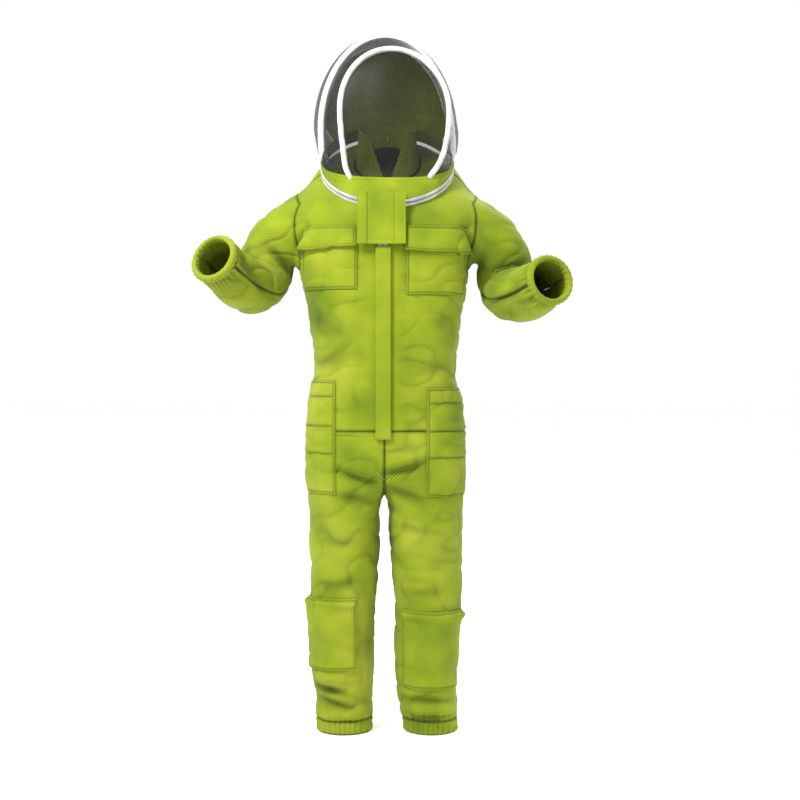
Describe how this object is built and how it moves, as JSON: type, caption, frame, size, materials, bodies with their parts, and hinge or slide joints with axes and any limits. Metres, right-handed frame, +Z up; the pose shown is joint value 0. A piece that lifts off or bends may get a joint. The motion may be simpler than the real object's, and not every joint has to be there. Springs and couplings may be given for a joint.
{
  "type": "beekeeping suit",
  "caption": "One-piece beekeeping coverall of thick ventilated fabric with a hooped veil hood that zips on round the neck, chest and hip pockets, knee patches and elastic cuffs.",
  "frame": {"origin": "between the shoulders, on the middle line, at the height of the shoulder seams", "axes": "+Z up along the worn suit, +X to the wearer's left, -Y out of the front"},
  "size_m": [0.9038, 0.4012, 1.7357],
  "materials": {
    "spacer_fabric": "three-layer ventilated spacer mesh, matt lime green",
    "veil_net": "fine open black veil net",
    "white_trim": "white woven binding, zip tape and moulded zip teeth",
    "zip_metal": "plated zip slider and pull tab"
  },
  "bodies": {
    "coverall": {"bodice_back": "spacer_fabric", "bodice_front_left": "spacer_fabric", "bodice_front_right": "spacer_fabric", "chest_loop_tape_left": "white_trim", "chest_loop_tape_right": "white_trim", "chest_pocket_left": "spacer_fabric", "chest_pocket_right": "spacer_fabric", "cuff_left": "spacer_fabric", "cuff_right": "spacer_fabric", "front_zip_tape_left": "white_trim", "front_zip_tape_right": "white_trim", "front_zip_teeth": "white_trim", "hem_left": "spacer_fabric", "hem_right": "spacer_fabric", "hip_pocket_left": "spacer_fabric", "hip_pocket_right": "spacer_fabric", "knee_patch_left": "spacer_fabric", "knee_patch_right": "spacer_fabric", "leg_back_left": "spacer_fabric", "leg_back_right": "spacer_fabric", "leg_front_left": "spacer_fabric", "leg_front_right": "spacer_fabric", "neck_yoke": "spacer_fabric", "neck_zip_tape_lower": "white_trim", "neck_zip_teeth_lower": "white_trim", "placket": "spacer_fabric", "sleeve_back_left": "spacer_fabric", "sleeve_back_right": "spacer_fabric", "sleeve_front_left": "spacer_fabric", "sleeve_front_right": "spacer_fabric", "stand_collar_left": "spacer_fabric", "stand_collar_right": "spacer_fabric"},
    "hood": {"hood_back_panel": "spacer_fabric", "hood_collar_band": "spacer_fabric", "hoop_front": "white_trim", "hoop_rear": "white_trim", "neck_zip_tape_upper": "white_trim", "neck_zip_teeth_upper": "white_trim", "veil_crown_net": "veil_net", "veil_face_net": "veil_net", "veil_rear_net": "veil_net"},
    "neck_flap": {"neck_flap": "spacer_fabric", "neck_flap_hook_tape_left": "white_trim", "neck_flap_hook_tape_right": "white_trim"},
    "chest_flap_left": {"chest_flap_left": "spacer_fabric"},
    "chest_flap_right": {"chest_flap_right": "spacer_fabric"},
    "neck_slider_left": {"neck_zip_slider_left": "zip_metal"},
    "neck_slider_right": {"neck_zip_slider_right": "zip_metal"},
    "neck_puller_left": {"neck_zip_puller_left": "zip_metal"},
    "neck_puller_right": {"neck_zip_puller_right": "zip_metal"},
    "front_slider": {"front_zip_slider": "zip_metal"},
    "front_puller": {"front_zip_puller": "zip_metal"}
  },
  "joints": [
    {"name": "hood_fold", "type": "hinge", "parent": "coverall", "child": "hood", "pos_m": [0.006, 0.13253, 0.1712], "axis": [-1, 0, 0], "range_deg": [0, 100]},
    {"name": "neck_flap_lift", "type": "hinge", "parent": "hood", "child": "neck_flap", "pos_m": [-0.0075, -0.1403, -0.018], "axis": [-1, 0, 0], "range_deg": [0, 110]},
    {"name": "chest_flap_left_lift", "type": "hinge", "parent": "coverall", "child": "chest_flap_left", "pos_m": [0.13314, -0.13434, -0.098], "axis": [-0.9506, -0.3104, 0], "range_deg": [0, 120]},
    {"name": "chest_flap_right_lift", "type": "hinge", "parent": "coverall", "child": "chest_flap_right", "pos_m": [-0.14563, -0.12862, -0.098], "axis": [-0.9171, 0.3987, 0], "range_deg": [0, 120]},
    {"name": "neck_slider_left_run", "type": "hinge", "parent": "coverall", "child": "neck_slider_left", "pos_m": [0.006, 0, 0.06], "axis": [0, -0.6428, 0.766], "range_deg": [0, 130]},
    {"name": "neck_slider_right_run", "type": "hinge", "parent": "coverall", "child": "neck_slider_right", "pos_m": [0.006, 0, 0.06], "axis": [0, 0.6428, -0.766], "range_deg": [0, 130]},
    {"name": "neck_puller_left_swing", "type": "hinge", "parent": "neck_slider_left", "child": "neck_puller_left", "pos_m": [0.01798, -0.13129, -0.05016], "axis": [-1, 0, 0], "range_deg": [0, 15]},
    {"name": "neck_puller_right_swing", "type": "hinge", "parent": "neck_slider_right", "child": "neck_puller_right", "pos_m": [-0.00598, -0.13129, -0.05016], "axis": [-1, 0, 0], "range_deg": [0, 15]},
    {"name": "front_slider_run", "type": "slide", "parent": "coverall", "child": "front_slider", "axis": [0, 0, -1], "range_m": [0, 0.49]},
    {"name": "front_puller_swing", "type": "hinge", "parent": "front_slider", "child": "front_puller", "pos_m": [-0.0025, -0.1432, -0.086], "axis": [-1, 0, 0], "range_deg": [0, 5]}
  ]
}
